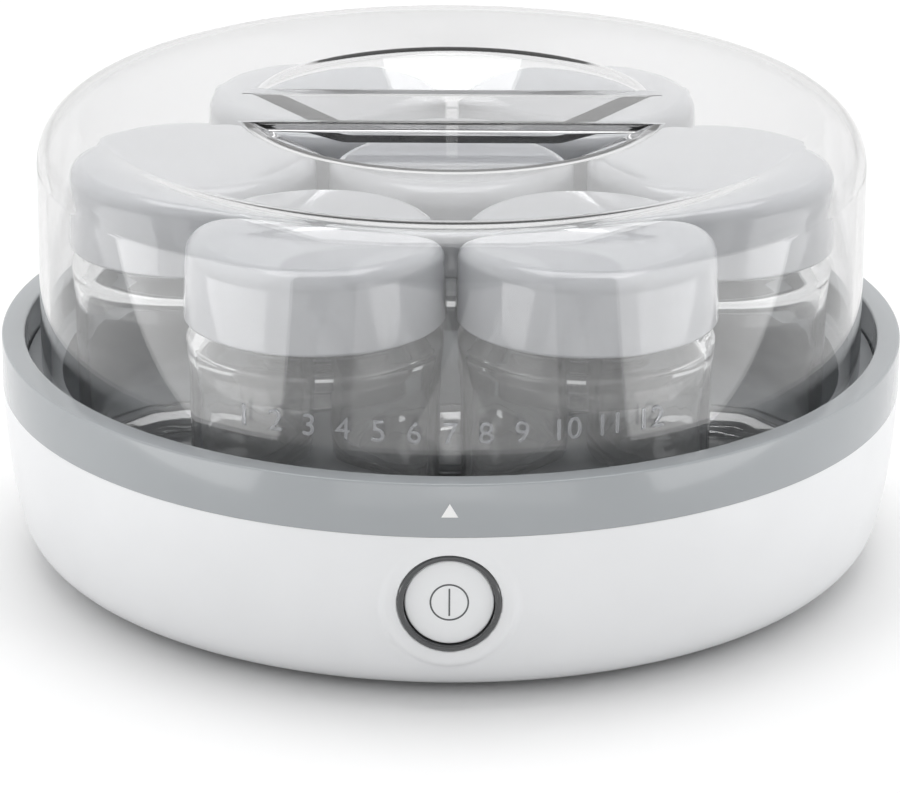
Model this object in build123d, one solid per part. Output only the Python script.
"""Yogurt maker with seven glass jars, modelled piece by piece.

The round base holds a heated well. Seven screw-capped jars stand in the well, one in the
middle and six around it, under a clear lid with a sunken finger grip.
Millimetres, +Z up, front towards -Y, origin on the floor at the middle of the feet.
"""

import os
from math import cos, pi, radians, sin, tan

from build123d import *

# Base
BASE_R = 120.0  # largest radius, at the top ring
RING_TOP = 61.0
SEAM_Z = 46.8  # joint between the top ring and the white shell
SHELL_R = 119.7
SIDE_ARC_R = 150.0  # gentle curve of the shell's side
SIDE_ARC_ANGLE = 13.3
CORNER_R = 13.9  # rounding between side and bottom
SHELL_WALL = 2.4
COVER_R = 94.0
COVER_THICK = 3.0
FIT_GAP = 0.3

# Heated well
WELL_R = 104.0
WELL_WALL = 2.0
WELL_FLOOR = 25.0
WELL_UNDER = 22.0
RECESS_DEPTH = 1.0
RECESS_R = 31.5
SEAT_Z = 52.0  # where the lid rests
SEAT_R = 113.3

# Jars
JAR_COUNT_AROUND = 6
JAR_PITCH_R = 68.7
JAR_FOOT = WELL_FLOOR - RECESS_DEPTH
JAR_RIM = 102.6
JAR_GLASS = 2.8
CAP_R = 33.4
CAP_BOTTOM = 84.2
CAP_TOP = 105.5
CAP_WALL = 1.7
SEAL_THICK = 1.0
SEAL_R = 29.8

# Lid
LID_R = 109.6
LID_TOP = 121.2
LID_WALL = 2.6
LID_SHOULDER = 14.0
GRIP_R = 54.5  # the two finger pockets make one circle
GRIP_FLOOR_R = 32.0
GRIP_DEPTH = 11.4
GRIP_BAR = 31.0  # width of the bar left between the pockets

# Power button
BUTTON_Z = 29.0
BUTTON_R = 11.15
BUTTON_FACE = 118.2  # distance of its face from the middle of the base
BUTTON_RING_R = 13.0
BUTTON_RING_BORE = 11.4
BUTTON_RING_FACE = 119.4
BUTTON_STEM_R = 3.0
PAD_R = 17.4
PAD_FACE = 118.7
SWITCH_FRONT = 105.0

# Fasteners and feet
SCREW_PITCH_R = 89.0
SCREW_ANGLES = (45, 135, 225, 315)
SCREW_R = 1.7
FOOT_PITCH_R = 75.5
FOOT_ANGLES = (0, 90, 180, 270)
FOOT_R = 8.0

# Heating and wiring
SPREADER_R = 83.0
SPREADER_THICK = 0.8
HEATER_RADII = (78.0, 62.0, 44.0, 30.0)
HEATER_R = 1.1
HEATER_START = 60
HEATER_SWEEP = 320
LEAD_R = 0.9

SPREADER_UNDER = WELL_UNDER - SPREADER_THICK
SHELL_CENTRE_X = SHELL_R - SIDE_ARC_R
CORNER_X = SHELL_CENTRE_X + (SIDE_ARC_R - CORNER_R) * cos(radians(SIDE_ARC_ANGLE))
CORNER_Z = SEAM_Z - (SIDE_ARC_R - CORNER_R) * sin(radians(SIDE_ARC_ANGLE))
SHELL_BOTTOM = CORNER_Z - CORNER_R
COVER_TOP = SHELL_BOTTOM + COVER_THICK
FLANGE_TOP = COVER_TOP + SHELL_WALL


def turned(*corners):
    """Turn a closed outline of (radius, height) corners; a third number rounds a corner."""
    face = make_face(Polyline(*[corner[:2] for corner in corners], close=True))
    for corner in corners:
        if len(corner) == 3:
            vertex = face.vertices().sort_by_distance((corner[0], corner[1], 0))[0]
            face = fillet(vertex, corner[2])
    return revolve(Plane.XZ * face, Axis.Z)


def post(radius, low, high, x=0.0, y=0.0):
    """An upright cylinder between two heights."""
    return Pos(x, y, (low + high) / 2) * Cylinder(radius, high - low)


def rod(radius, front, back, x=0.0, z=BUTTON_Z):
    """A cylinder along Y, between two distances in front of the middle of the base."""
    return Pos(x, -(front + back) / 2, z) * Rot(90, 0, 0) * Cylinder(radius, front - back)


def block(x, y, z):
    """A box given by its (low, high) pairs along X, Y and Z."""
    size = Box(x[1] - x[0], y[1] - y[0], z[1] - z[0])
    return Pos((x[0] + x[1]) / 2, (y[0] + y[1]) / 2, (z[0] + z[1]) / 2) * size


def around(radius, angle):
    return radius * cos(radians(angle)), radius * sin(radians(angle))


def screw(head_r, head_height, shank_r, length):
    """A cross-head screw standing on its head, its head's underside at z = 0."""
    head = Pos(0, 0, -head_height / 2) * Cylinder(head_r, head_height)
    head = fillet(head.edges().group_by(Axis.Z)[0], head_height * 0.4)
    tip = 0.8 * shank_r
    shank = Pos(0, 0, (length - tip) / 2) * Cylinder(shank_r, length - tip)
    point = Pos(0, 0, length - tip / 2) * Cone(shank_r, shank_r * 0.4, tip)
    slot = Box(head_r * 1.1, head_r * 0.28, head_height)
    cross = Pos(0, 0, -head_height) * (slot + Rot(0, 0, 90) * slot)
    return head + shank + point - cross


# ---------------------------------------------------------------- base housing


def shell_arcs(inset):
    """The shell's side and corner curve, offset inwards."""
    side = CenterArc((SHELL_CENTRE_X, SEAM_Z), SIDE_ARC_R - inset, 0, -SIDE_ARC_ANGLE)
    corner_turn = SIDE_ARC_ANGLE - 90
    corner = CenterArc((CORNER_X, CORNER_Z), CORNER_R - inset, -SIDE_ARC_ANGLE, corner_turn)
    return side, corner


def base_shell():
    """White outer bowl, open on top and below, with a flat pad and hole for the button."""
    outer_side, outer_corner = shell_arcs(0)
    inner_side, inner_corner = shell_arcs(SHELL_WALL)
    step_r = COVER_R + FIT_GAP
    rest_of_outline = Polyline(
        outer_corner @ 1,
        (step_r, SHELL_BOTTOM),
        (step_r, COVER_TOP),
        (SCREW_PITCH_R - 5, COVER_TOP),
        (SCREW_PITCH_R - 5, FLANGE_TOP),
        (step_r + SHELL_WALL, FLANGE_TOP),
        (step_r + SHELL_WALL, SHELL_BOTTOM + SHELL_WALL),
        inner_corner @ 1,
    )
    top = Line(outer_side @ 0, inner_side @ 0)
    outline = [outer_side, outer_corner, rest_of_outline, inner_corner, inner_side, top]
    shell = revolve(Plane.XZ * make_face(Curve() + outline), Axis.Z)
    # The button's pad faces straight forward, so it stands proud where the shell curves in.
    pad_depth = 5.2
    pad = Pos(0, pad_depth / 2 - PAD_FACE, BUTTON_Z) * Rot(90, 0, 0)
    shell += pad * Cone(PAD_R + 0.6, PAD_R - 1.0, pad_depth)
    # Nothing of the pad stands above the seam.
    shell -= post(SHELL_R, SEAM_Z, SEAM_Z + 5)
    gland_pad = Pos(0, (GLAND_PAD_FACE + GLAND_PAD_BACK) / 2, GLAND_Z) * Rot(-90, 0, 0)
    shell += gland_pad * Cone(9.2, 8.0, GLAND_PAD_FACE - GLAND_PAD_BACK)
    shell -= rod(BUTTON_RING_R + 0.1, BASE_R + 5, 108)
    for side in (-1, 1):
        shell += rod(3.0, 116.2, HOLDER_FRONT, HOLDER_SCREW_X * side)
        shell -= rod(1.2, 115.0, HOLDER_FRONT, HOLDER_SCREW_X * side)
    for angle in SCREW_ANGLES:
        shell -= post(2.2, 0, FLANGE_TOP, *around(SCREW_PITCH_R, angle))
    shell -= Pos(0, 115, GLAND_Z) * Rot(90, 0, 0) * Cylinder(GLAND_NECK_R, 20)
    return shell


def top_ring():
    """Grey ring round the top, lapping inside the shell and carrying the well's flange."""
    skirt_low = SEAM_Z - 6.0
    skirt_r = SHELL_R - SHELL_WALL - 0.5
    ring = turned(
        (BASE_R, SEAM_Z),
        (BASE_R, RING_TOP, 0.6),
        (113.7, RING_TOP, 0.8),
        (113.7, SEAT_Z - 2.2),
        (106.6, SEAT_Z - 2.2),
        (106.6, SEAT_Z - 4.6),
        (114.8, SEAT_Z - 4.6),
        (114.8, skirt_low),
        (skirt_r, skirt_low),
        (skirt_r, SEAM_Z),
    )
    # The skirt is cut away behind the button.
    return ring - block((-22, 22), (-BASE_R, -100), (skirt_low - 1, SEAM_Z))


def jar_places():
    """Centre of each jar: the middle one, then six around it."""
    step = 360 / JAR_COUNT_AROUND
    return [(0.0, 0.0)] + [around(JAR_PITCH_R, step * i) for i in range(JAR_COUNT_AROUND)]


def well_liner():
    """Grey inner pan that the jars stand in; it bulges in at the front around the switch."""
    outer_r = WELL_R + WELL_WALL
    outside = turned((0, WELL_UNDER), (outer_r, WELL_UNDER, 4.0), (outer_r, SEAT_Z), (0, SEAT_Z))
    outside += post(SEAT_R, SEAT_Z - 2.2, SEAT_Z)
    outside -= block((-15, 15), (-SEAT_R, -94), (0, SEAT_Z - 2.2))
    outside += post(SEAT_R, SEAT_Z - 2.2, SEAT_Z)
    inside = turned((0, WELL_FLOOR), (WELL_R, WELL_FLOOR, 5.0), (WELL_R, SEAT_Z + 1), (0, SEAT_Z + 1))
    bulge = block((-17, 17), (-SEAT_R, -92), (0, SEAT_Z))
    inside -= bulge
    pan = outside - inside
    for x, y in jar_places():
        pan -= post(RECESS_R, JAR_FOOT, WELL_FLOOR + 0.5, x, y)
    for angle in SCREW_ANGLES:
        x, y = around(SCREW_PITCH_R, angle)
        pan += post(4.5, FLANGE_TOP, WELL_UNDER + 0.5, x, y)
        pan -= post(SCREW_R, 0, SCREW_TIP + 0.2, x, y)
    for x, y, low in WELL_BOSSES:
        pan += post(2.9, low, WELL_UNDER + 0.5, x, y)
        pan -= post(SMALL_SCREW_R, low, WELL_UNDER + 1.2, x, y)
    return pan


def bottom_cover():
    """Flat plate that closes the bottom, with sunk screw holes and sockets for the feet."""
    cover = turned((0, SHELL_BOTTOM), (COVER_R, SHELL_BOTTOM, 0.6), (COVER_R, COVER_TOP), (0, COVER_TOP))
    for angle in SCREW_ANGLES:
        x, y = around(SCREW_PITCH_R, angle)
        cover -= post(2.2, 0, 10, x, y)
        cover -= post(4.0, 0, SHELL_BOTTOM + 2.0, x, y)
    for angle in FOOT_ANGLES:
        x, y = around(FOOT_PITCH_R, angle)
        cover -= post(FOOT_R, 0, SHELL_BOTTOM + 0.8, x, y)
        cover -= post(3.1, 0, 10, x, y)
    # Slots let the air out of the heating space.
    for row in range(-3, 4):
        slot = SlotOverall(26, 2.2)
        cover -= Pos(0, 9.0 * row, 0) * extrude(slot, 10)
    return cover


def rubber_feet():
    """Four push-in feet, each with a stem and a barb above the cover."""
    foot = turned(
        (0, 0),
        (FOOT_R - 0.2, 0, 0.6),
        (FOOT_R - 0.2, SHELL_BOTTOM + 0.8),
        (3.0, SHELL_BOTTOM + 0.8),
        (3.0, COVER_TOP),
        (3.8, COVER_TOP),
        (2.4, COVER_TOP + 2.0),
        (0, COVER_TOP + 2.0),
    )
    return Compound([Pos(*around(FOOT_PITCH_R, angle)) * foot for angle in FOOT_ANGLES])


def bottom_screws():
    """Four screws that clamp cover, shell and ring to the well."""
    head_under = SHELL_BOTTOM + 2.0
    fastener = screw(3.6, 1.9, SCREW_R, SCREW_TIP - head_under)
    places = [around(SCREW_PITCH_R, angle) for angle in SCREW_ANGLES]
    return Compound([Pos(x, y, head_under) * fastener for x, y in places])


def cord_gland():
    """Bushing in the back wall for the mains cord."""
    neck_end = GLAND_FLANGE + GLAND_PAD_FACE - GLAND_PAD_BACK
    length = neck_end + 3.6
    outline = [
        (GLAND_BORE_R, 0),
        (6.2, 0, 0.8),
        (6.2, GLAND_FLANGE),
        (GLAND_NECK_R, GLAND_FLANGE),
        (GLAND_NECK_R, neck_end),
        (5.6, neck_end),
        (5.0, length),
        (GLAND_BORE_R, length),
    ]
    return Pos(0, GLAND_PAD_FACE + GLAND_FLANGE, GLAND_Z) * Rot(90, 0, 0) * turned(*outline)


# ---------------------------------------------------------------- heating and wiring

GLAND_Z = 18.0
GLAND_BORE_R = 3.25
GLAND_NECK_R = 4.6
GLAND_FLANGE = 1.4
GLAND_PAD_FACE = 118.4
GLAND_PAD_BACK = 113.0
SCREW_TIP = 19.0
SMALL_SCREW_R = 1.2
STRAP_TOP = 17.0  # the metal straps under the heater are clamped at this height
STRAP_THICK = 0.8
STRAP_SCREW_X = 19.5
THERMOSTAT_CAP_R = 8.5
THERMOSTAT_BODY_R = 6.8
FUSE_X = 53.0
FUSE_R = 2.0
FUSE_HALF = 6.0
FUSE_SCREW_X = 57.9
BLOCK_X = (-40.0, -12.0)
BLOCK_Y = (86.0, 98.0)
BLOCK_Z = (10.0, 20.0)
BLOCK_SCREW = (-26.0, 92.0)
POLE_X = (-34.0, -18.0)
POLE_Z = 15.0
WELL_BOSSES = (
    (-STRAP_SCREW_X, 0.0, STRAP_TOP),
    (STRAP_SCREW_X, 0.0, STRAP_TOP),
    (FUSE_SCREW_X, 0.0, STRAP_TOP),
    (*BLOCK_SCREW, BLOCK_Z[1]),
)


def heat_spreader():
    """Thin aluminium disc bonded under the well, cut out round the bosses."""
    disc = post(SPREADER_R, SPREADER_UNDER, WELL_UNDER)
    for x, y, _ in WELL_BOSSES[:3]:
        disc -= post(3.2, 0, 30, x, y)
    return disc


def heater_route():
    """Rings of the heating cord, joined by half-circle turns, from the rim inwards."""
    edges = []
    start, sweep = HEATER_START, HEATER_SWEEP
    for index, radius in enumerate(HEATER_RADII):
        edges.append(CenterArc((0, 0), radius, start, sweep))
        start, sweep = start + sweep, -sweep
        if index + 1 < len(HEATER_RADII):
            next_radius = HEATER_RADII[index + 1]
            turn_centre = around((radius + next_radius) / 2, start)
            half_turn = -180 if sweep > 0 else 180
            edges.append(CenterArc(turn_centre, (radius - next_radius) / 2, start, half_turn))
    return Wire(edges)


def heater_cord():
    """Silicone-covered heating cord taped under the spreader."""
    height = SPREADER_UNDER - HEATER_R - 0.05
    route = Pos(0, 0, height) * heater_route()
    section = Plane(route @ 0, z_dir=route % 0) * Circle(HEATER_R)
    return sweep(section, path=route)


def thermostat():
    """Bimetal disc thermostat, its metal cap against the spreader."""
    body = post(THERMOSTAT_CAP_R, STRAP_TOP, SPREADER_UNDER)
    body = fillet(body.edges().group_by(Axis.Z)[-1], 0.8)
    body += post(THERMOSTAT_BODY_R, 8.0, STRAP_TOP)
    return body + block((-2.4, 2.4), (-12, 12), (9.0, 9.8))


def thermostat_strap():
    """Sheet strap that holds the thermostat up, screwed to the well at both ends."""
    outline = SlotOverall(2 * STRAP_SCREW_X + 8, 8) + Circle(THERMOSTAT_CAP_R)
    strap = Pos(0, 0, STRAP_TOP - STRAP_THICK) * extrude(outline, STRAP_THICK)
    strap -= post(THERMOSTAT_BODY_R + 0.1, 0, 30)
    for side in (-1, 1):
        strap -= post(SMALL_SCREW_R + 0.2, 0, 30, STRAP_SCREW_X * side)
    return strap


def thermal_fuse():
    """One-shot fuse in its sleeve, lying against the spreader."""
    height = SPREADER_UNDER - FUSE_R - 0.1
    sleeve = Pos(FUSE_X, 0, height) * Rot(90, 0, 0) * Cylinder(FUSE_R, 2 * FUSE_HALF)
    return chamfer(sleeve.edges(), 0.4)


def fuse_clip():
    """Bent sheet clip that presses the fuse up."""
    low = STRAP_TOP - STRAP_THICK
    clip = block((FUSE_X - 3.0, FUSE_SCREW_X + 3.0), (-3.5, 3.5), (low, STRAP_TOP))
    clip += block((FUSE_X - 3.0, FUSE_X - 2.2), (-3.5, 3.5), (low, SPREADER_UNDER))
    return clip - post(SMALL_SCREW_R + 0.2, 0, 30, FUSE_SCREW_X)


def strap_screws():
    """Three small screws for the thermostat strap and the fuse clip."""
    fastener = screw(2.6, 1.6, SMALL_SCREW_R, 5.8)
    places = (-STRAP_SCREW_X, STRAP_SCREW_X, FUSE_SCREW_X)
    return Compound([Pos(x, 0, STRAP_TOP - STRAP_THICK) * fastener for x in places])


def terminal_block():
    """Two-pole block where the mains cord's cores meet the inner leads."""
    body = block(BLOCK_X, BLOCK_Y, BLOCK_Z)
    body = fillet(body.edges().filter_by(Axis.Z), 1.5)
    for x in POLE_X:
        mains_side = Pos(x, BLOCK_Y[1] - 3, POLE_Z) * Rot(90, 0, 0) * Cylinder(2.0, 6)
        body -= mains_side
        body -= post(1.6, BLOCK_Z[0], POLE_Z - 2.6, x, BLOCK_SCREW[1])
    return body - post(SMALL_SCREW_R + 0.2, 0, 30, *BLOCK_SCREW)


def block_screw():
    """Long screw through the terminal block."""
    return Pos(*BLOCK_SCREW, BLOCK_Z[0]) * screw(2.6, 1.6, SMALL_SCREW_R, 13.0)


def lead(*points):
    """An insulated lead along straight runs joined by arcs as large as the runs allow."""
    runs = [Vector(*b) - Vector(*a) for a, b in zip(points, points[1:])]
    radii = []
    for before, after in zip(runs, runs[1:]):
        half_turn = radians(before.get_angle(after)) / 2
        radii.append(0.45 * min(before.length, after.length) / tan(half_turn))
    route = FilletPolyline(*points, radius=radii)
    tube = sweep(Plane(route @ 0, z_dir=route % 0) * Circle(LEAD_R), path=route)
    expected = pi * LEAD_R**2 * route.length
    print("lead", round(route.length), "mm, radii", [round(r) for r in radii],
          "volume ratio", round(tube.volume / expected, 3))
    return tube


def heater_end(at_start):
    """Position and outward direction of one end of the heating cord."""
    route = heater_route()
    height = SPREADER_UNDER - HEATER_R - 0.05
    place = (route @ 0 if at_start else route @ 1) + Vector(0, 0, height)
    direction = route % 0 * -1 if at_start else route % 1
    return place, direction


def lead_live():
    """From the terminal block to the power switch."""
    return lead(
        (POLE_X[0], BLOCK_Y[0], POLE_Z),
        (POLE_X[0], 74, POLE_Z),
        (-50, 50, 12),
        (-56, 10, 11.5),
        (-50, -36, 12),
        (-24, -74, 11.5),
        (-SWITCH_TAB_X, -SWITCH_MIDDLE, 10),
        (-SWITCH_TAB_X, -SWITCH_MIDDLE, SWITCH_TAB_LOW),
    )


def lead_switched():
    """From the power switch to the thermostat."""
    return lead(
        (SWITCH_TAB_X, -SWITCH_MIDDLE, SWITCH_TAB_LOW),
        (SWITCH_TAB_X, -SWITCH_MIDDLE, 10),
        (-8, -72, 9.5),
        (-26, -44, 9),
        (-26, -10, 8.8),
        (-14, 18, 9.2),
        (0, 24, 9.4),
        (0, 12, 9.4),
    )


def lead_to_fuse():
    """From the thermostat to the thermal fuse."""
    height = SPREADER_UNDER - FUSE_R - 0.1
    return lead(
        (0, -12, 9.4),
        (0, -24, 9.4),
        (18, -34, 11),
        (42, -33, 14),
        (FUSE_X, -18, height),
        (FUSE_X, -FUSE_HALF, height),
    )


def lead_to_heater():
    """From the thermal fuse to the inner end of the heating cord."""
    height = SPREADER_UNDER - FUSE_R - 0.1
    place, direction = heater_end(False)
    return lead(
        (FUSE_X, FUSE_HALF, height),
        (FUSE_X, 16, height),
        (44, 24, 15),
        (34, 17, 15.5),
        place + direction * 9,
        place,
    )


def lead_neutral():
    """From the outer end of the heating cord back to the terminal block."""
    place, direction = heater_end(True)
    return lead(
        place,
        place + direction * 10,
        (50, 68, 15),
        (36, 79, 12.5),
        (12, 78, 12),
        (-8, 72, 12.5),
        (POLE_X[1], 76, POLE_Z),
        (POLE_X[1], BLOCK_Y[0], POLE_Z),
    )


# ---------------------------------------------------------------- power button and switch

HOLDER_FRONT = 109.4
HOLDER_BACK = 107.4
HOLDER_SCREW_X = 18.2
SWITCH_HALF = 6.0
SWITCH_BACK = 95.4
SWITCH_MIDDLE = (SWITCH_FRONT + SWITCH_BACK) / 2
SWITCH_TAB_X = 3.5
SWITCH_TAB_LOW = 17.5
PLUNGER_R = 2.0
BUTTON_TRAVEL = 2.5
STEM_END = SWITCH_FRONT + BUTTON_TRAVEL + 0.3  # the stem stops short of the switch when pressed


def button_ring():
    """Smoked ring round the button; its tail collects the pilot light."""
    outline = [
        (BUTTON_RING_BORE, -BUTTON_RING_FACE, 0.4),
        (BUTTON_RING_R, -BUTTON_RING_FACE, 0.7),
        (BUTTON_RING_R, -113.4),
        (BUTTON_RING_R + 1.6, -113.4),
        (BUTTON_RING_R + 1.6, -112.2),
        (BUTTON_RING_BORE, -112.2),
    ]
    # Turned about Z, then laid down so that its height runs along Y.
    return Pos(0, 0, BUTTON_Z) * Rot(-90, 0, 0) * turned(*outline)


def power_button():
    """Round push button, a cap on a stem that reaches back to the switch."""
    outline = [
        (0, -BUTTON_FACE),
        (BUTTON_R, -BUTTON_FACE, 0.5),
        (BUTTON_R, -BUTTON_FACE + 3.2),
        (BUTTON_R - 1.4, -BUTTON_FACE + 3.2),
        (BUTTON_R - 1.4, -BUTTON_FACE + 1.6),
        (BUTTON_STEM_R, -BUTTON_FACE + 1.6),
        (BUTTON_STEM_R, -STEM_END),
        (0, -STEM_END),
    ]
    return Pos(0, 0, BUTTON_Z) * Rot(-90, 0, 0) * turned(*outline)


def switch_plunger():
    """Plunger of the switch, pushed by the button's stem."""
    return rod(PLUNGER_R, STEM_END, SWITCH_FRONT - 3.0)


def button_spring():
    """Coil spring that returns the button."""
    front, back = BUTTON_FACE - 1.9, HOLDER_FRONT + 0.3
    coil_r, wire_r, turns = 5.0, 0.35, 4
    length = front - back - 2 * wire_r
    path = Helix(length / turns, length, coil_r)
    coil = sweep(Plane(path @ 0, z_dir=path % 0) * Circle(wire_r), path=path, is_frenet=True)
    return Pos(0, -back - wire_r, BUTTON_Z) * Rot(90, 0, 0) * coil


def switch_holder():
    """Plate screwed behind the pad; it guides the stem and grips the switch."""
    plate = block((-21.5, 21.5), (-HOLDER_FRONT, -HOLDER_BACK), (BUTTON_Z - 9, BUTTON_Z + 9))
    plate = fillet(plate.edges().filter_by(Axis.Y), 3)
    arm_back = SWITCH_BACK + 3
    for side in (-1, 1):
        inner = SWITCH_HALF * side
        outer = (SWITCH_HALF + 1.6) * side
        span = (min(inner, outer), max(inner, outer))
        plate += block(span, (-HOLDER_BACK, -arm_back), (BUTTON_Z - 5, BUTTON_Z + 5))
    plate += block((-5, 5), (-HOLDER_FRONT, -HOLDER_BACK), (BUTTON_Z + 8, LAMP_Z + 1))
    plate -= rod(LAMP_R + 0.1, BASE_R, 100, 0, LAMP_Z - 0.4)
    plate -= rod(BUTTON_STEM_R + 0.2, BASE_R, 100)
    for side in (-1, 1):
        plate -= rod(SMALL_SCREW_R + 0.2, BASE_R, 100, HOLDER_SCREW_X * side)
    return plate


def holder_screws():
    """Two small screws that hold the switch holder to the shell."""
    fastener = Rot(90, 0, 0) * screw(2.2, 1.4, SMALL_SCREW_R, 6.5)
    places = (-HOLDER_SCREW_X, HOLDER_SCREW_X)
    return Compound([Pos(x, -HOLDER_BACK, BUTTON_Z) * fastener for x in places])


def switch_body():
    """Latching push switch with two tabs below."""
    half = SWITCH_HALF
    body = block((-half, half), (-SWITCH_FRONT, -SWITCH_BACK), (BUTTON_Z - half, BUTTON_Z + half))
    body -= rod(PLUNGER_R + 0.15, BASE_R, SWITCH_FRONT - 3.0 - BUTTON_TRAVEL - 0.5)
    for side in (-1, 1):
        x = SWITCH_TAB_X * side
        depth = (-SWITCH_MIDDLE - 2.0, -SWITCH_MIDDLE + 2.0)
        body += block((x - 0.4, x + 0.4), depth, (SWITCH_TAB_LOW, BUTTON_Z - half))
    return body


LAMP_R = 1.5
LAMP_Z = 41.6


def lamp_board():
    """Small board that carries the pilot lamp behind the ring."""
    return block((-6, 6), (-HOLDER_BACK, -HOLDER_BACK + 1.2), (BUTTON_Z + SWITCH_HALF + 2, LAMP_Z + 3))


def pilot_lamp():
    """Pilot lamp, its dome just behind the ring's tail."""
    lamp = rod(LAMP_R, 111.8, HOLDER_BACK, 0, LAMP_Z - 0.4)
    return fillet(lamp.edges().group_by(Axis.Y)[0], 1.2)


def lamp_leads():
    """Two bare legs from the lamp board down to the switch."""
    low, high = BUTTON_Z + SWITCH_HALF, BUTTON_Z + SWITCH_HALF + 2
    depth = -HOLDER_BACK + 0.6
    knee = -SWITCH_FRONT + 1.5
    legs = []
    for x in (-3.0, 3.0):
        leg = block((x - 0.4, x + 0.4), (depth - 0.4, knee + 0.4), (high - 0.8, high))
        legs.append(leg + block((x - 0.4, x + 0.4), (knee - 0.4, knee + 0.4), (low, high - 0.4)))
    return Compound(legs)


# ---------------------------------------------------------------- jars, caps, seals, lid


def jar():
    """Thick glass jar: pushed-up base, straight wall, round shoulder and a threaded neck."""
    wall_r, neck_r, shoulder_z = 31.9, 29.0, 79.0
    inner_r, mouth_r = wall_r - JAR_GLASS, neck_r - JAR_GLASS
    return turned(
        (0, JAR_FOOT + 1.4),
        (24.5, JAR_FOOT + 0.5),
        (25.5, JAR_FOOT, 0.4),
        (wall_r - 0.4, JAR_FOOT, 4.6),
        (wall_r, 70.0, 12.0),
        (wall_r + 0.9, shoulder_z, 3.0),
        (30.2, 82.9, 1.4),
        (30.2, 84.9, 0.6),
        (neck_r, 85.8, 0.6),
        (neck_r, JAR_RIM, 0.9),
        (mouth_r, JAR_RIM, 1.0),
        (mouth_r, 81.0, 5.0),
        (inner_r, 75.5, 8.0),
        (inner_r - 0.6, JAR_FOOT + 3.6, 7.0),
        (0, JAR_FOOT + 4.4),
    )


def cap():
    """Screw cap with softly rounded top and a slightly flared skirt."""
    inner_r = CAP_R - CAP_WALL
    return turned(
        (0, CAP_TOP),
        (CAP_R - 0.8, CAP_TOP, 5.0),
        (CAP_R, CAP_BOTTOM, 1.0),
        (inner_r, CAP_BOTTOM, 0.5),
        (inner_r - 0.6, CAP_TOP - CAP_WALL, 1.2),
        (0, CAP_TOP - CAP_WALL),
    )


def seal():
    """Soft sealing disc that lies on the jar's rim inside the cap."""
    top = JAR_RIM + SEAL_THICK
    return turned((0, JAR_RIM), (SEAL_R, JAR_RIM, 0.3), (SEAL_R, top, 0.3), (0, top))


def grip_bowl(inset):
    """The round hollow of the finger grip, grown by a wall thickness."""
    return turned(
        (0, LID_TOP - GRIP_DEPTH - inset),
        (GRIP_FLOOR_R + 0.25 * inset, LID_TOP - GRIP_DEPTH - inset, 8.0 + inset),
        (GRIP_R + 1.2 * inset, LID_TOP - 0.5 * inset),
        (GRIP_R + 1.2 * inset, LID_TOP + 1),
        (0, LID_TOP + 1),
    )


def beside_bar(shape, half_bar):
    """Keep only what lies in front of and behind the grip's bar."""
    return shape - block((-80, 80), (-half_bar, half_bar), (80, 140))


def lid():
    """Clear domed lid; two half-round pockets leave a bar to hold it by."""
    inner_r = LID_R - LID_WALL
    body = turned((0, SEAT_Z), (LID_R, SEAT_Z), (LID_R, LID_TOP, LID_SHOULDER), (0, LID_TOP))
    hollow = turned(
        (0, SEAT_Z - 1),
        (inner_r, SEAT_Z - 1),
        (inner_r, LID_TOP - LID_WALL, LID_SHOULDER - LID_WALL),
        (0, LID_TOP - LID_WALL),
    )
    hollow -= beside_bar(grip_bowl(LID_WALL), GRIP_BAR / 2 - LID_WALL)
    body -= hollow
    body -= beside_bar(grip_bowl(0), GRIP_BAR / 2)
    return body


# ---------------------------------------------------------------- write every piece

NODES = {
    "base_shell": base_shell,
    "top_ring": top_ring,
    "well_liner": well_liner,
    "bottom_cover": bottom_cover,
    "rubber_feet": rubber_feet,
    "bottom_screws": bottom_screws,
    "cord_gland": cord_gland,
    "heat_spreader": heat_spreader,
    "heater_cord": heater_cord,
    "thermostat": thermostat,
    "thermostat_strap": thermostat_strap,
    "thermal_fuse": thermal_fuse,
    "fuse_clip": fuse_clip,
    "strap_screws": strap_screws,
    "terminal_block": terminal_block,
    "block_screw": block_screw,
    "lead_live": lead_live,
    "lead_switched": lead_switched,
    "lead_to_fuse": lead_to_fuse,
    "lead_to_heater": lead_to_heater,
    "lead_neutral": lead_neutral,
    "button_ring": button_ring,
    "power_button": power_button,
    "switch_plunger": switch_plunger,
    "button_spring": button_spring,
    "switch_holder": switch_holder,
    "holder_screws": holder_screws,
    "switch_body": switch_body,
    "lamp_board": lamp_board,
    "pilot_lamp": pilot_lamp,
    "lamp_leads": lamp_leads,
    "lid": lid,
}

os.makedirs("parts", exist_ok=True)
for name, build in NODES.items():
    export_step(build(), f"parts/{name}.step")
for family, shape in (("jar", jar()), ("cap", cap()), ("seal", seal())):
    for number, (x, y) in enumerate(jar_places(), start=1):
        export_step(Pos(x, y, 0) * shape, f"parts/{family}_{number}.step")
